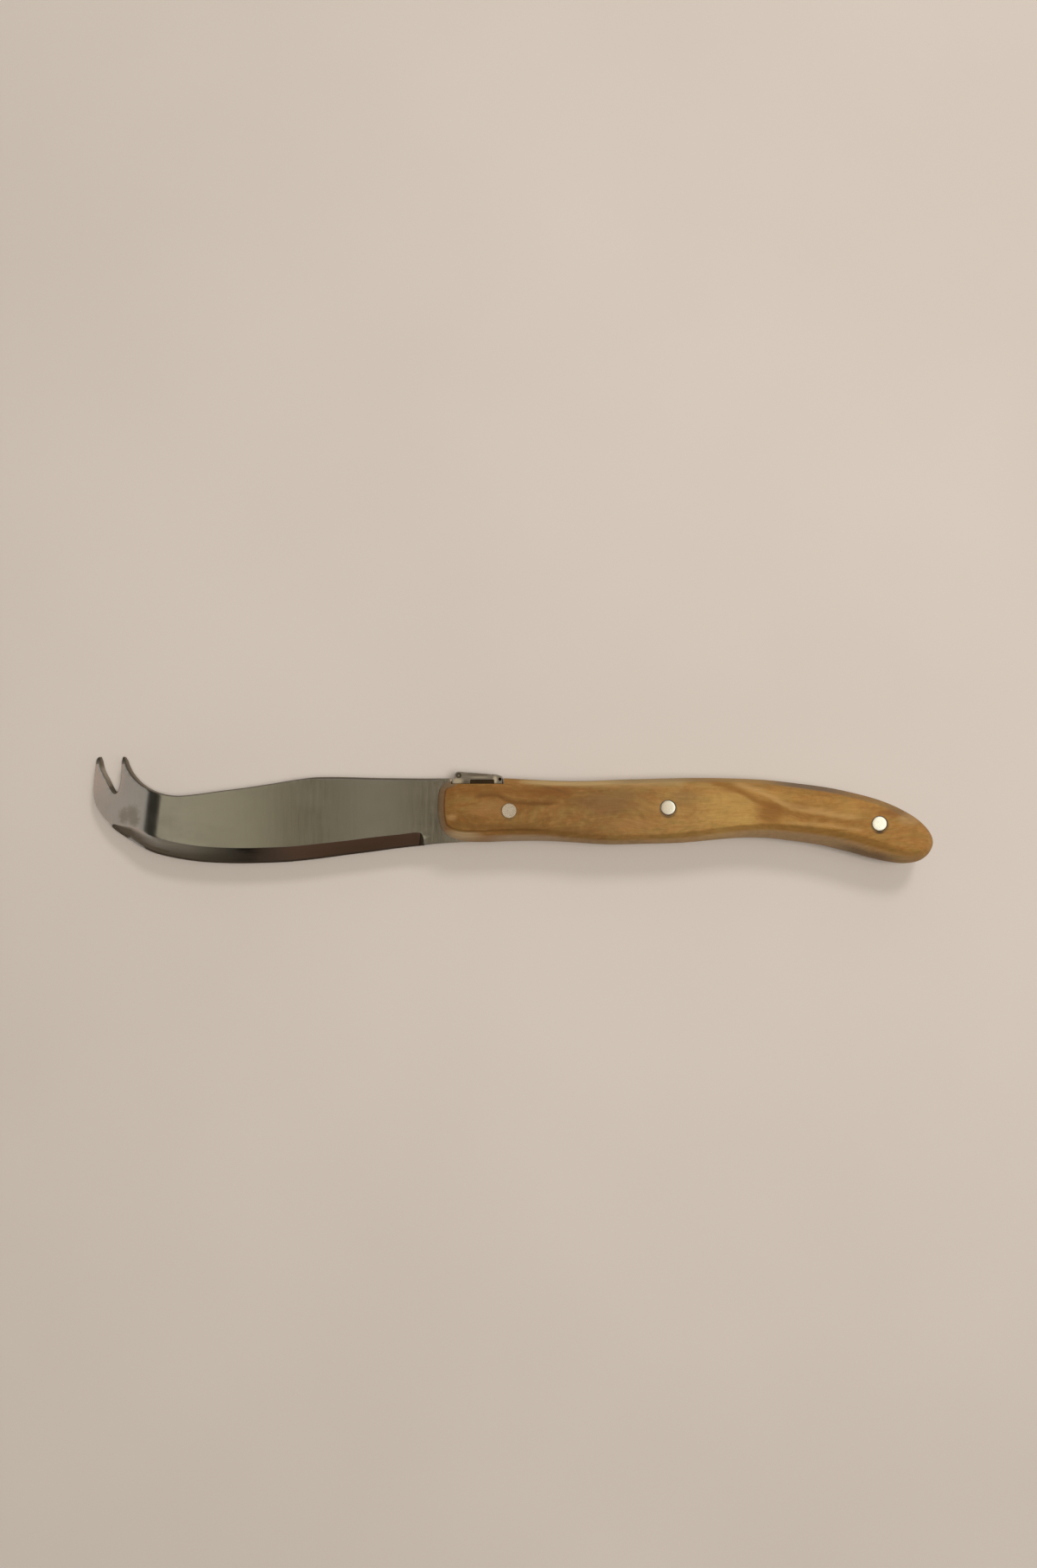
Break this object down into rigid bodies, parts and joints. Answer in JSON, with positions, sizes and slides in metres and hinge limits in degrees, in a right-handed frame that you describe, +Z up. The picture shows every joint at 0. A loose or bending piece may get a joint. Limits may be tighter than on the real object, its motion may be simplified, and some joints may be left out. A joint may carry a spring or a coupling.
{
  "type": "cheese knife",
  "caption": "Cheese knife with a curved, forked, slightly bent steel blade, a full tang, riveted olive wood scales and a small scrolled spine plate.",
  "frame": {"origin": "middle of the knife's outline, on the surface it lies on", "axes": "+X from the fork to the end of the handle, +Y towards the spine, +Z up, out of the front scale"},
  "size_m": [0.2247, 0.0286, 0.012],
  "materials": {
    "blade_steel": "satin stainless steel, brushed across the blade, with a polished ground bevel",
    "olive_wood": "oiled olive wood, golden brown with darker flowing veins",
    "rivet_metal": "ground flush and polished",
    "plate_metal": "polished, with darkened sunk panels"
  },
  "bodies": {
    "root": {"blade": "blade_steel", "front_scale": "olive_wood", "back_scale": "olive_wood", "front_rivet": "rivet_metal", "middle_rivet": "rivet_metal", "rear_rivet": "rivet_metal", "spine_plate": "plate_metal"}
  },
  "joints": []
}
